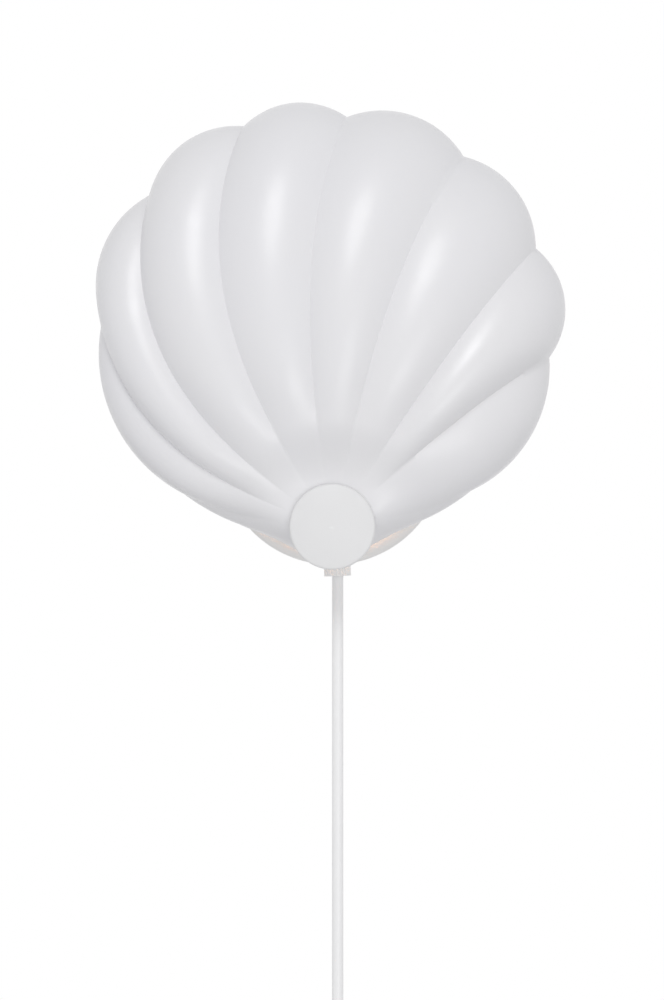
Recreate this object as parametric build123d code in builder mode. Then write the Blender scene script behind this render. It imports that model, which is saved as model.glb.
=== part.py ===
# Shell-shaded plug-in wall lamp: a round wall base, a ribbed scallop shade on one threaded stud,
# an upright E14 lampholder behind the shade, and a round cord with an in-line switch and a two-pin plug.
# Origin: the middle of the wall bracket, on the wall. X runs right, Z up and Y into the wall,
# so everything stands at negative Y. "Depth" below is the distance out from the wall.
from build123d import *
from math import acos, asin, atan2, cos, degrees, hypot, pi, radians, sin
import os

os.makedirs("parts", exist_ok=True)

# ---------------------------------------------------------------- driving dimensions, in mm
running_gap = 0.05  # radial play of a thread or pivot that turns
fit_gap = 0.3  # space between pieces that only pass by each other

# wall base
base_radius = 61.6
base_depth = 26.0
base_wall = 1.2
base_round = 9.0
base_turn = 2.5  # degrees that the stud and the cord outlet stand off the vertical

# wall bracket
strap_width = 20.0
strap_thickness = 2.0
strap_length = 108.0
strap_foot = 72.0  # length that lies on the wall
strap_lift = 8.0  # height of its raised ends
wall_slot_spacing = 50.0
wall_slot_length = 14.0
wall_slot_width = 5.0
base_screw_spacing = 92.0
base_screw_radius = 2.0
base_screw_head_radius = 4.0
base_screw_head_height = 2.4

# stud that carries the shade
stud_margin = 3.1  # between its washer and the rounding of the base
stud_radius = 5.0
stud_bore = 3.0
stud_nut_width = 14.0
stud_nut_height = 4.0
washer_radius = 9.0
washer_thickness = 1.2
sleeve_radius = 8.0
seal_thickness = 1.0

# shade
shade_wall = 1.8
shade_rim_depth = 31.0  # the open edge stands this far off the wall
shade_height = 50.0  # from the open edge to the top of the dome, without the ribs
shade_centre_x = -3.5  # middle of the dome, from the stud
shade_centre_z = 106.8
shade_hub_rise = 30.0  # the flattened foot of the shade, above the open edge
shade_hub_flat = 20.0  # radius of that flat
shade_hub_blend = 58.0  # radius where the flat has turned into the dome
shade_ribs_start = 20.0  # radius where the ribs begin to rise
shade_ribs_full = 90.0
shade_hole_play = 1.0  # the hole is this much larger in radius than the stud
shade_lip_drop = 9.3  # tongue of the open edge below the hub
shade_lip_sharpness = 5
seat_thickness = 5.5  # thickness of the shade under the cap
seat_margin = 6.0  # the thick part reaches this far past the flat
seat_blend = 14.0

# cap nut in front of the shade
cap_radius = 23.1
cap_edge = 3.6
cap_crown = 2.6
cap_edge_round = 1.5
cap_insert_radius = 8.0
cap_thread_length = 5.2

# lampholder and bulb, upright behind the dome
lamp_depth = 45.0  # axis, out from the wall
lamp_x = 0.0
arm_height = 26.0  # underside of the bracket's arm, above the middle of the base
arm_width = 22.0
arm_thickness = 1.5
arm_reach = 15.0  # past the lamp's axis
foot_length = 22.0
holder_screw_radius = 1.5
holder_screw_spacing = 12.0
nipple_radius = 5.0
nipple_bore = 3.4
nipple_nut_width = 14.0
nipple_nut_height = 3.0
holder_radius = 14.0
holder_height = 38.0
holder_wall = 1.8
holder_floor = 6.0
holder_shoulder = 3.0
core_floor = 13.5  # the insulating core stands this high in the lampholder
core_base = 6.0
core_length = 22.5
contact_radius = 3.2
thread_radius = 6.9  # E14 screw shell, over the threads
thread_shell = 0.4
bulb_thread_length = 17.0
bulb_tip_radius = 2.0
bulb_tip_height = 1.5
bulb_insulator_height = 2.0
bulb_radius = 22.5
bulb_glass_wall = 1.0
bulb_collar_radius = 10.5
bulb_collar_height = 3.0
bulb_length = 78.0

# cord, switch, coil and plug
cord_radius = 3.1
cord_inset = 12.0  # of the cord and its outlet, from the front of the base
cord_visible = 246.0  # straight down from the outlet to the switch
cord_inside = 18.0  # sheath inside the outlet
grip_radius = 7.35
grip_length = 5.6
grip_ribs = 24
grip_rib_radius = 0.55
grip_collar_radius = 6.2
grip_collar = 0.6
grip_thread_radius = 5.0
grip_stem_inside = 7.6
grip_locknut_width = 13.0
grip_locknut_height = 3.0
grip_bore = 3.75
switch_length = 62.0
switch_width = 26.0
switch_thickness = 19.0
switch_wall = 1.8
switch_round = 2.5
switch_corner = 9.0
rocker_length = 15.0
rocker_width = 9.0
rocker_proud = 1.6
rocker_tilt = 6.0  # degrees either side of level
cord_below = 54.0  # from the switch down to the level of the coil's middle
coil_inner_radius = 24.5
coil_gap = 0.8
coil_turns_in = 7  # half turns from the outside to the inside
coil_turns_out = 6  # half turns back out, on top of the first layer
tie_width = 8.0
tie_thickness = 0.8
tie_slack_inside = 0.7
tie_slack_outside = 0.35
plug_drop = 55.0  # from the level of the coil's middle to the plug
plug_width = 35.0
plug_length = 36.0
plug_thickness = 13.7
plug_pin_radius = 2.0
plug_pin_length = 19.0
plug_pin_spacing = 18.6

# wiring inside the base
wire_hole_radius = 4.0
wire_hole_z = -1.0
terminal_x = -24.0
terminal_z = -20.0
terminal_width = 18.0
terminal_height = 16.0
terminal_thickness = 12.0
terminal_screw_radius = 1.5
pole_spacing = 8.0
core_radius = 0.95  # one insulated wire
wire_bend = 4.0

# ---------------------------------------------------------------- places worked out from them
stud_drop = base_radius - base_round - washer_radius - stud_margin  # from the middle of the base
stud_x = stud_drop * sin(radians(base_turn))
stud_z = -stud_drop * cos(radians(base_turn))
cord_depth = base_depth - cord_inset
outlet_x = sin(radians(base_turn))  # direction of the cord outlet from the base's middle
outlet_z = -cos(radians(base_turn))
cap_seat_depth = shade_rim_depth + shade_hub_rise + fit_gap
seat_back_depth = shade_rim_depth + shade_hub_rise - seat_thickness
shade_drop = shade_hole_play - running_gap  # the shade hangs on the stud by its hole
shade_x = stud_x
shade_z = stud_z - shade_drop


def face_on(depth, x=0.0, z=0.0):
    # plane parallel to the wall, its normal pointing into the room
    return Plane(origin=(x, -depth, z), x_dir=(1, 0, 0), z_dir=(0, -1, 0))


def side_on(x=0.0, z=0.0):
    # half-section plane of a piece that is round about a line square to the wall: (radius, depth)
    return Plane(origin=(x, 0, z), x_dir=(1, 0, 0), z_dir=(0, 0, -1))


def out_of_wall(x=0.0, z=0.0):
    return Axis((x, 0, z), (0, -1, 0))


def level(z, x=0.0, depth=0.0):
    # plane at height z, its normal pointing up; local y runs away from the wall with -y
    return Plane(origin=(x, -depth, z), x_dir=(1, 0, 0), z_dir=(0, 0, 1))


def upright(x, depth, z=0.0):
    # half-section plane of a piece that is round about a vertical line: (radius, height)
    return Plane(origin=(x, -depth, z), x_dir=(1, 0, 0), z_dir=(0, -1, 0))


def save(piece, name):
    piece.part.label = name
    export_step(piece.part, f"parts/{name}.step")


# ---------------------------------------------------------------- wall bracket
foot_end = strap_foot / 2
strap_end = strap_length / 2
ramp = strap_lift / 2
with BuildPart() as wall_bracket:
    with BuildSketch(Plane(origin=(0, 0, -strap_width / 2), x_dir=(1, 0, 0), z_dir=(0, 0, 1))):
        with BuildLine():
            Polyline(
                (-strap_end, -strap_lift),
                (-foot_end - ramp, -strap_lift),
                (-foot_end, 0),
                (foot_end, 0),
                (foot_end + ramp, -strap_lift),
                (strap_end, -strap_lift),
                (strap_end, -strap_lift - strap_thickness),
                (foot_end + ramp - strap_thickness / 2, -strap_lift - strap_thickness),
                (foot_end - strap_thickness / 2, -strap_thickness),
                (-foot_end + strap_thickness / 2, -strap_thickness),
                (-foot_end - ramp + strap_thickness / 2, -strap_lift - strap_thickness),
                (-strap_end, -strap_lift - strap_thickness),
                close=True,
            )
        make_face()
    extrude(amount=strap_width)
    with BuildSketch(face_on(0)):
        with GridLocations(wall_slot_spacing, 0, 2, 1):
            SlotOverall(wall_slot_length, wall_slot_width)
    extrude(amount=strap_thickness, mode=Mode.SUBTRACT)
    with BuildSketch(face_on(0)):
        with GridLocations(base_screw_spacing, 0, 2, 1):
            Circle(base_screw_radius + running_gap)
    extrude(amount=strap_lift + strap_thickness, mode=Mode.SUBTRACT)
    fillet(wall_bracket.edges().filter_by(Axis.Y).group_by(SortBy.LENGTH)[0], radius=strap_thickness / 2)
save(wall_bracket, "wall_bracket")

# ---------------------------------------------------------------- wall base
with BuildPart() as base_cup:
    with BuildSketch(side_on()):
        with BuildLine():
            Line((0, base_depth), (base_radius - base_round, base_depth))
            RadiusArc(
                (base_radius - base_round, base_depth), (base_radius, base_depth - base_round), base_round
            )
            Line((base_radius, base_depth - base_round), (base_radius, 0))
            Line((base_radius, 0), (base_radius - base_wall, 0))
            Line((base_radius - base_wall, 0), (base_radius - base_wall, base_depth - base_round))
            RadiusArc(
                (base_radius - base_wall, base_depth - base_round),
                (base_radius - base_round, base_depth - base_wall),
                -(base_round - base_wall),
            )
            Line((base_radius - base_round, base_depth - base_wall), (0, base_depth - base_wall))
            Line((0, base_depth - base_wall), (0, base_depth))
        make_face()
    revolve(axis=out_of_wall())
    with BuildSketch(face_on(base_depth - base_wall)):
        with Locations((stud_x, stud_z)):
            Circle(stud_radius + running_gap)
        with GridLocations(base_screw_spacing, 0, 2, 1):
            Circle(base_screw_radius + running_gap)
        with Locations((lamp_x, wire_hole_z)):
            Circle(wire_hole_radius)
        with Locations((lamp_x, arm_height - foot_length / 2)):
            with GridLocations(holder_screw_spacing, 0, 2, 1):
                Circle(holder_screw_radius + running_gap)
        with Locations((terminal_x, terminal_z)):
            Circle(terminal_screw_radius + running_gap)
    extrude(amount=base_wall, mode=Mode.SUBTRACT)
    outlet_plane = Plane(origin=(0, -cord_depth, 0), x_dir=(0, 1, 0), z_dir=(outlet_x, 0, outlet_z))
    with BuildSketch(outlet_plane.offset(base_radius / 2)):
        Circle(grip_thread_radius + running_gap)
    extrude(amount=base_radius, mode=Mode.SUBTRACT)
save(base_cup, "base_cup")

# two screws that pull the base onto the bracket's raised ends
with BuildPart() as base_screws:
    with BuildSketch(face_on(strap_lift)):
        with GridLocations(base_screw_spacing, 0, 2, 1):
            Circle(base_screw_radius)
    extrude(amount=base_depth - strap_lift)
    with BuildSketch(face_on(base_depth)):
        with GridLocations(base_screw_spacing, 0, 2, 1):
            Circle(base_screw_head_radius)
    extrude(amount=base_screw_head_height)
    fillet(base_screws.faces().sort_by(Axis.Y)[0:2].edges(), radius=base_screw_head_height / 2)
    with BuildSketch(face_on(base_depth + base_screw_head_height / 2)):
        with GridLocations(base_screw_spacing, 0, 2, 1):
            Rectangle(base_screw_head_radius, 0.8)
            Rectangle(0.8, base_screw_head_radius)
    extrude(amount=base_screw_head_height, mode=Mode.SUBTRACT)
save(base_screws, "base_screws")


# ---------------------------------------------------------------- stud and its hardware
def ring(name, x, z, outer, inner, back, front):
    with BuildPart() as piece:
        with BuildSketch(face_on(back, x, z)):
            Circle(outer)
            Circle(inner, mode=Mode.SUBTRACT)
        extrude(amount=front - back)
    save(piece, name)
    return piece


washer_back = base_depth - base_wall - washer_thickness
nut_back = washer_back - stud_nut_height
stud_back = nut_back - 1.5
stud_front = cap_seat_depth + cap_thread_length - fit_gap
clear_radius = stud_radius + running_gap
with BuildPart() as stud:
    with BuildSketch(face_on(stud_back, stud_x, stud_z)):
        Circle(stud_radius)
        Circle(stud_bore, mode=Mode.SUBTRACT)
    extrude(amount=stud_front - stud_back)
    chamfer(stud.faces().sort_by(Axis.Y)[0].outer_wire().edges(), length=0.6)
save(stud, "stud")

with BuildPart() as stud_nut:
    with BuildSketch(face_on(nut_back, stud_x, stud_z)):
        RegularPolygon(stud_nut_width / 2, 6, major_radius=False)
        Circle(clear_radius, mode=Mode.SUBTRACT)
    extrude(amount=stud_nut_height)
save(stud_nut, "stud_nut")
ring("stud_washer", stud_x, stud_z, washer_radius, clear_radius, washer_back, washer_back + washer_thickness)
sleeve_front = seat_back_depth - 2 * fit_gap - seal_thickness
ring("spacer_sleeve", stud_x, stud_z, sleeve_radius, clear_radius, base_depth, sleeve_front)
seal_front = sleeve_front + seal_thickness
ring("shade_seal", stud_x, stud_z, washer_radius, clear_radius, sleeve_front, seal_front)

# ---------------------------------------------------------------- shell shade
# Each mark is a point of the open edge where two ribs meet: its angle about the dome's middle,
# clockwise from straight up, the edge's radius there, how far its groove turns on the way
# to the hub, in degrees, and the swell of the rib that follows it.
rim_marks = (
    (-155.0, 115.4, 0.0, 0.0),
    (-137.9, 118.2, -7.0, 5.8),
    (-86.9, 123.2, -21.0, 8.2),
    (-52.4, 122.4, -25.0, 7.8),
    (-22.2, 120.9, -19.0, 6.9),
    (5.1, 117.2, -10.0, 7.4),
    (37.8, 120.4, -7.0, 6.8),
    (68.2, 121.7, -3.0, 8.4),
    (96.7, 121.2, -3.5, 5.3),
    (138.0, 116.4, 6.0, 0.0),
    (153.0, 114.8, 0.0, 0.0),
)
last_stretch = len(rim_marks) - 1  # the plain lip below the hub
rib_boost = 0.25  # extra swell halfway up, where a rib is widest for its size
rib_points = 6
shade_rings = (0.0, 0.03, 0.06, 0.09, 0.13, 0.19, 0.27, 0.38, 0.5, 0.63, 0.76, 0.87, 0.95, 1.0)
full_depth_from = 0.55  # share of the dome's height above which the flat keeps its full depth
keep_radius = 10.0  # the flat is whole inside this radius, whatever the edge does
keep_blend = 12.0
hole_radius = stud_radius + shade_hole_play


def rim_stretch(stretch):
    start = rim_marks[stretch]
    end = rim_marks[(stretch + 1) % len(rim_marks)]
    if stretch == last_stretch:
        end = (end[0] + 360, end[1], end[2], end[3])
    return start, end


def edge_place(stretch, along):
    # angle and radius of the open edge about the dome's middle, without the ribs' swell
    start, end = rim_stretch(stretch)
    angle = start[0] + (end[0] - start[0]) * along
    radius = start[1] + (end[1] - start[1]) * along
    if stretch == last_stretch:
        radius += shade_lip_drop * (1 - (2 * along - 1) ** 2) ** shade_lip_sharpness
    return angle, radius


def rim_radius(angle):
    first = rim_marks[0][0]
    angle = first + (angle - first) % 360
    for stretch in range(len(rim_marks)):
        start, end = rim_stretch(stretch)
        if start[0] <= angle <= end[0]:
            return edge_place(stretch, (angle - start[0]) / (end[0] - start[0]))[1]
    return rim_marks[0][1]


def smooth_step(value):
    value = min(max(value, 0.0), 1.0)
    return value * value * (3 - 2 * value)


def shade_point(stretch, along, up, inset, seat_inset):
    # stretch: between which two marks; along: 0 to 1 between them; up: 0 at the hole to 1 at the open edge
    start, end = rim_stretch(stretch)
    angle, radius = edge_place(stretch, along)
    edge_x = shade_centre_x + radius * sin(radians(angle))
    edge_z = shade_centre_z + radius * cos(radians(angle))
    sweep = start[2] + (end[2] - start[2]) * along
    turn = atan2(edge_x, edge_z) + radians(sweep) * (1 - up**2)
    reach = hole_radius + (hypot(edge_x, edge_z) - hole_radius) * up
    x, z = reach * sin(turn), reach * cos(turn)
    # the dome without ribs
    off_x, off_z = x - shade_centre_x, z - shade_centre_z
    off = max(hypot(off_x, off_z), 1e-6)
    local_radius = rim_radius(degrees(atan2(off_x, off_z)))
    share = 1.0 if up == 1 else min(off / local_radius, 1.0)
    dome = (1 - share**2) ** 0.5
    kept = (1 - smooth_step((reach - keep_radius) / keep_blend)) * (1 - smooth_step(up))
    lip = 1 - (1 - sin(pi / 2 * min(dome / full_depth_from, 1.0))) * (1 - kept)
    flat = 1 - smooth_step((reach - shade_hub_flat) / (shade_hub_blend - shade_hub_flat))
    depth = flat * shade_hub_rise * lip + (1 - flat) * shade_height * dome
    # its outward direction
    lean = share / local_radius
    rise = dome / shade_height
    facing = flat * lip
    across = (1 - facing) * lean / hypot(lean, rise)
    outward = (1 - facing) * rise / hypot(lean, rise) + facing
    length = hypot(across, outward)
    # ribs and wall
    ribs = smooth_step((reach - shade_ribs_start) / (shade_ribs_full - shade_ribs_start)) * up**0.5
    swell = start[3] * (1 - (2 * along - 1) ** 2) * ribs * (1 + rib_boost * (1 - up) * up * 4)
    seat = 1 - smooth_step((reach - shade_hub_flat - seat_margin) / seat_blend)
    push = (swell - inset - seat_inset * seat * lip) / length
    return (
        shade_x + x + across * off_x / off * push,
        -(shade_rim_depth + depth + outward * push),
        shade_z + z + across * off_z / off * push,
    )


def shade_wires(inset, seat_inset):
    # closed rings from the hole to the open edge, one curve for each rib, all with the same even spans
    steps = [step / (rib_points - 1) for step in range(rib_points)]
    wires = []
    for up in shade_rings:
        ribs = []
        for stretch in range(len(rim_marks)):
            points = [shade_point(stretch, along, up, inset, seat_inset) for along in steps]
            ribs.append(Edge.make_spline(points, parameters=steps))
        wires.append(Wire(ribs))
    return wires


def skin(wires, ruled=False):
    return Solid.make_loft(wires, ruled).faces().filter_by(GeomType.PLANE, reverse=True)


outside_wires = shade_wires(0.0, 0.0)
inside_wires = shade_wires(shade_wall, seat_thickness - shade_wall)
open_edge = Face(outside_wires[-1], [inside_wires[-1]])
hole_wall = skin([outside_wires[0], inside_wires[0]], ruled=True)
with BuildPart() as shell_shade:
    add(Solid(Shell(skin(outside_wires) + skin(inside_wires) + hole_wall + [open_edge])))
save(shell_shade, "shell_shade")
print("shell_shade", len(shell_shade.part.solids()), "solid", round(shell_shade.part.volume), "mm3")


# ---------------------------------------------------------------- cap nut in front of the shade
insert_front = cap_seat_depth + cap_thread_length
with BuildPart() as cap_insert:
    with BuildSketch(face_on(cap_seat_depth, stud_x, stud_z)):
        Circle(cap_insert_radius)
        Circle(clear_radius, mode=Mode.SUBTRACT)
    extrude(amount=cap_thread_length)
    chamfer(cap_insert.faces().sort_by(Axis.Y)[-1].inner_wires().edges(), length=0.5)
save(cap_insert, "cap_insert")

insert_pocket = cap_insert_radius + running_gap
cap_shoulder = cap_seat_depth + cap_edge
with BuildPart() as cap_disc:
    with BuildSketch(side_on(stud_x, stud_z)):
        with BuildLine():
            Line((insert_pocket, cap_seat_depth), (cap_radius, cap_seat_depth))
            Line((cap_radius, cap_seat_depth), (cap_radius, cap_shoulder))
            RadiusArc(
                (cap_radius, cap_shoulder),
                (0, cap_shoulder + cap_crown),
                -(cap_radius**2 + cap_crown**2) / (2 * cap_crown),
            )
            Line((0, cap_shoulder + cap_crown), (0, insert_front + running_gap))
            Line((0, insert_front + running_gap), (insert_pocket, insert_front + running_gap))
            Line((insert_pocket, insert_front + running_gap), (insert_pocket, cap_seat_depth))
        make_face()
    revolve(axis=out_of_wall(stud_x, stud_z))
    fillet(cap_disc.edges().filter_by(GeomType.CIRCLE).sort_by(SortBy.RADIUS)[-2:], radius=cap_edge_round)
save(cap_disc, "cap_disc")

# ---------------------------------------------------------------- bracket that carries the lampholder
arm_top = arm_height + arm_thickness
foot_front = base_depth + arm_thickness
foot_middle = arm_height - foot_length / 2
arm_tip = lamp_depth + arm_reach
with BuildPart() as holder_bracket:
    with BuildSketch(Plane(origin=(lamp_x + arm_width / 2, 0, 0), x_dir=(0, -1, 0), z_dir=(-1, 0, 0))):
        with BuildLine():
            Polyline(
                (base_depth, arm_height - foot_length),
                (base_depth, arm_top),
                (arm_tip, arm_top),
                (arm_tip, arm_height),
                (foot_front, arm_height),
                (foot_front, arm_height - foot_length),
                close=True,
            )
        make_face()
    extrude(amount=arm_width)
    bends = holder_bracket.edges().filter_by(Axis.X)
    fillet(bends.sort_by_distance((lamp_x, -base_depth, arm_top))[0], radius=2 * arm_thickness)
    fillet(bends.sort_by_distance((lamp_x, -foot_front, arm_height))[0], radius=arm_thickness)
    fillet(holder_bracket.edges().filter_by(Axis.Z).group_by(Axis.Y)[0], radius=arm_width / 4)
    fillet(holder_bracket.edges().filter_by(Axis.Y).group_by(Axis.Z)[0], radius=arm_width / 6)
    with BuildSketch(level(arm_height, lamp_x, lamp_depth)):
        Circle(nipple_radius + running_gap)
    extrude(amount=arm_thickness, mode=Mode.SUBTRACT)
    with BuildSketch(face_on(base_depth, lamp_x, foot_middle)):
        with GridLocations(holder_screw_spacing, 0, 2, 1):
            Circle(holder_screw_radius + running_gap)
    extrude(amount=arm_thickness, mode=Mode.SUBTRACT)
save(holder_bracket, "holder_bracket")

base_back = base_depth - base_wall  # inner side of the base's front
screw_nut_width = 5.5
screw_nut_height = 2.4
screw_head_radius = 2.8
screw_head_height = 1.8
slot_width = 0.8
with BuildPart() as holder_screws:
    with BuildSketch(face_on(base_back - screw_nut_height - 1, lamp_x, foot_middle)):
        with GridLocations(holder_screw_spacing, 0, 2, 1):
            Circle(holder_screw_radius)
    extrude(amount=foot_front - base_back + screw_nut_height + 1)
    with BuildSketch(face_on(foot_front, lamp_x, foot_middle)):
        with GridLocations(holder_screw_spacing, 0, 2, 1):
            Circle(screw_head_radius)
    extrude(amount=screw_head_height)
    with BuildSketch(face_on(foot_front + screw_head_height / 2, lamp_x, foot_middle)):
        with GridLocations(holder_screw_spacing, 0, 2, 1):
            Rectangle(2 * screw_head_radius, slot_width)
    extrude(amount=screw_head_height, mode=Mode.SUBTRACT)
save(holder_screws, "holder_screws")

with BuildPart() as holder_screw_nuts:
    with BuildSketch(face_on(base_back - screw_nut_height, lamp_x, foot_middle)):
        with GridLocations(holder_screw_spacing, 0, 2, 1):
            RegularPolygon(screw_nut_width / 2, 6, major_radius=False)
            Circle(holder_screw_radius + running_gap, mode=Mode.SUBTRACT)
    extrude(amount=screw_nut_height)
save(holder_screw_nuts, "holder_screw_nuts")

nipple_bottom = arm_height - nipple_nut_height - 1.5
nipple_top = arm_top + holder_floor - 0.5
with BuildPart() as holder_nipple:
    with BuildSketch(level(nipple_bottom, lamp_x, lamp_depth)):
        Circle(nipple_radius)
        Circle(nipple_bore, mode=Mode.SUBTRACT)
    extrude(amount=nipple_top - nipple_bottom)
save(holder_nipple, "holder_nipple")

with BuildPart() as holder_nut:
    with BuildSketch(level(arm_height - nipple_nut_height, lamp_x, lamp_depth)):
        RegularPolygon(nipple_nut_width / 2, 6, major_radius=False)
        Circle(nipple_radius + running_gap, mode=Mode.SUBTRACT)
    extrude(amount=nipple_nut_height)
save(holder_nut, "holder_nut")

# ---------------------------------------------------------------- lampholder
holder_inner = holder_radius - holder_wall
holder_top = arm_top + holder_height
core_bottom = arm_top + core_floor
core_socket = core_bottom + core_base  # floor of the socket in the core
with BuildPart() as lampholder_body:
    with BuildSketch(upright(lamp_x, lamp_depth)):
        with BuildLine():
            Polyline(
                (nipple_radius + running_gap, arm_top),
                (holder_radius - holder_shoulder, arm_top),
                (holder_radius, arm_top + holder_shoulder),
                (holder_radius, holder_top),
                (holder_inner, holder_top),
                (holder_inner, core_bottom),
                (holder_inner - holder_wall, core_bottom),
                (holder_inner - holder_wall, arm_top + holder_floor),
                (nipple_radius + running_gap, arm_top + holder_floor),
                close=True,
            )
        make_face()
    revolve(axis=Axis((lamp_x, -lamp_depth, 0), (0, 0, 1)))
save(lampholder_body, "lampholder_body")

sleeve_inner = thread_radius + running_gap
sleeve_outer = sleeve_inner + thread_shell
core_hole_spacing = 2 * (contact_radius + core_radius + 0.6)
with BuildPart() as lampholder_core:
    with BuildSketch(level(core_bottom, lamp_x, lamp_depth)):
        Circle(holder_inner - running_gap)
    extrude(amount=core_length)
    with BuildSketch(level(core_socket, lamp_x, lamp_depth)):
        Circle(sleeve_outer)
    extrude(amount=core_length, mode=Mode.SUBTRACT)
    with BuildSketch(level(core_bottom, lamp_x, lamp_depth)):
        with GridLocations(0, core_hole_spacing, 1, 2):
            Circle(core_radius + running_gap)
    extrude(amount=core_base, mode=Mode.SUBTRACT)
save(lampholder_core, "lampholder_core")

with BuildPart() as lampholder_sleeve:
    with BuildSketch(level(core_socket, lamp_x, lamp_depth)):
        Circle(sleeve_outer)
        Circle(sleeve_inner, mode=Mode.SUBTRACT)
    extrude(amount=core_length - core_base)
save(lampholder_sleeve, "lampholder_sleeve")

contact_top = core_socket + 1.7
with BuildPart() as lampholder_contact:
    with BuildSketch(level(core_socket, lamp_x, lamp_depth)):
        Circle(contact_radius)
    extrude(amount=0.5)
    with BuildSketch(level(core_socket, lamp_x, lamp_depth)):
        Circle(contact_radius / 2)
    extrude(amount=contact_top - core_socket)
save(lampholder_contact, "lampholder_contact")

# ---------------------------------------------------------------- bulb
bulb_bottom = contact_top + running_gap
insulator_bottom = bulb_bottom + bulb_tip_height
thread_bottom = insulator_bottom + bulb_insulator_height
thread_top = bulb_bottom + bulb_thread_length
thread_inside = thread_radius - thread_shell
neck_radius = thread_inside - running_gap
bulb_top = bulb_bottom + bulb_length
bulb_centre = bulb_top - bulb_radius
lamp_axis = Axis((lamp_x, -lamp_depth, 0), (0, 0, 1))
with BuildPart() as bulb_thread:
    with BuildSketch(level(thread_bottom, lamp_x, lamp_depth)):
        Circle(thread_radius)
        Circle(thread_inside, mode=Mode.SUBTRACT)
    extrude(amount=thread_top - thread_bottom)
save(bulb_thread, "bulb_thread")

with BuildPart() as bulb_insulator:
    with BuildSketch(upright(lamp_x, lamp_depth)):
        with BuildLine():
            Polyline(
                (0, insulator_bottom),
                (bulb_tip_radius + 1, insulator_bottom),
                (neck_radius, thread_bottom),
                (neck_radius, thread_bottom + bulb_insulator_height),
                (0, thread_bottom + bulb_insulator_height),
                close=True,
            )
        make_face()
    revolve(axis=lamp_axis)
save(bulb_insulator, "bulb_insulator")

with BuildPart() as bulb_tip:
    with BuildSketch(level(bulb_bottom, lamp_x, lamp_depth)):
        Circle(bulb_tip_radius)
    extrude(amount=bulb_tip_height)
    fillet(bulb_tip.edges().group_by(Axis.Z)[0], radius=bulb_tip_height / 2)
save(bulb_tip, "bulb_tip")


def bulb_outline(inset):
    # neck, flared collar, cone and ball, all closer to the lamp's axis by the inset
    ball = bulb_radius - inset
    collar_radius = bulb_collar_radius - inset
    collar_height = thread_top + bulb_collar_height
    slant = hypot(collar_radius, bulb_centre - collar_height)
    from_down = asin(collar_radius / slant) + acos(ball / slant)  # where the cone touches the ball
    touch_point = (ball * sin(from_down), bulb_centre - ball * cos(from_down))
    with BuildSketch(upright(lamp_x, lamp_depth)) as outline:
        with BuildLine():
            Polyline(
                (0, bulb_centre + ball),
                (0, thread_bottom + bulb_insulator_height),
                (neck_radius - inset, thread_bottom + bulb_insulator_height),
                (neck_radius - inset, thread_top),
                (collar_radius, collar_height),
                touch_point,
            )
            ThreePointArc(
                touch_point,
                (ball * sin((from_down + pi) / 2), bulb_centre - ball * cos((from_down + pi) / 2)),
                (0, bulb_centre + ball),
            )
        make_face()
    return outline.sketch


with BuildPart() as bulb_glass:
    add(bulb_outline(0.0))
    revolve(axis=lamp_axis)
    add(bulb_outline(bulb_glass_wall))
    revolve(axis=lamp_axis, mode=Mode.SUBTRACT)
save(bulb_glass, "bulb_glass")

stalk_radius = neck_radius - bulb_glass_wall - fit_gap
with BuildPart() as bulb_light_post:
    with BuildSketch(upright(lamp_x, lamp_depth)):
        with BuildLine():
            Polyline(
                (0, thread_bottom + bulb_insulator_height),
                (stalk_radius, thread_bottom + bulb_insulator_height),
                (stalk_radius, thread_top),
                (stalk_radius * 0.8, bulb_centre),
                (0, bulb_centre + stalk_radius),
                close=True,
            )
        make_face()
    revolve(axis=lamp_axis)
save(bulb_light_post, "bulb_light_post")

# ---------------------------------------------------------------- terminals and wires in the base
terminal_back = base_back - terminal_thickness
terminal_middle = base_back - terminal_thickness / 2
with BuildPart() as terminal_block:
    with BuildSketch(face_on(terminal_back, terminal_x, terminal_z)):
        RectangleRounded(terminal_width, terminal_height, 1.5)
        Circle(terminal_screw_radius + running_gap, mode=Mode.SUBTRACT)
    extrude(amount=terminal_thickness)
    with BuildSketch(level(terminal_z - terminal_height / 2, terminal_x, terminal_middle)):
        with GridLocations(pole_spacing * 1.5, 0, 2, 1):
            Circle(core_radius + running_gap)
    extrude(amount=terminal_height, mode=Mode.SUBTRACT)
    with BuildSketch(face_on(terminal_back, terminal_x, terminal_z)):
        with GridLocations(pole_spacing * 1.5, pole_spacing, 2, 2):
            Circle(terminal_screw_radius)
    extrude(amount=terminal_thickness / 4, mode=Mode.SUBTRACT)
save(terminal_block, "terminal_block")

with BuildPart() as terminal_screw:
    with BuildSketch(face_on(terminal_back, terminal_x, terminal_z)):
        Circle(terminal_screw_radius)
    extrude(amount=base_depth - terminal_back)
    with BuildSketch(face_on(base_depth, terminal_x, terminal_z)):
        Circle(screw_head_radius)
    extrude(amount=screw_head_height)
    with BuildSketch(face_on(base_depth + screw_head_height / 2, terminal_x, terminal_z)):
        Rectangle(2 * screw_head_radius, slot_width)
    extrude(amount=screw_head_height, mode=Mode.SUBTRACT)
save(terminal_screw, "terminal_screw")

clamp_radius = terminal_screw_radius - running_gap
with BuildPart() as terminal_clamps:
    with BuildSketch(face_on(terminal_back, terminal_x, terminal_z)):
        with GridLocations(pole_spacing * 1.5, pole_spacing, 2, 2):
            Circle(clamp_radius)
            Rectangle(2 * clamp_radius, slot_width / 2, mode=Mode.SUBTRACT)
    extrude(amount=terminal_thickness / 8)
    with BuildSketch(face_on(terminal_back + terminal_thickness / 8, terminal_x, terminal_z)):
        with GridLocations(pole_spacing * 1.5, pole_spacing, 2, 2):
            Circle(clamp_radius)
    extrude(amount=terminal_thickness / 8)
save(terminal_clamps, "terminal_clamps")


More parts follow.
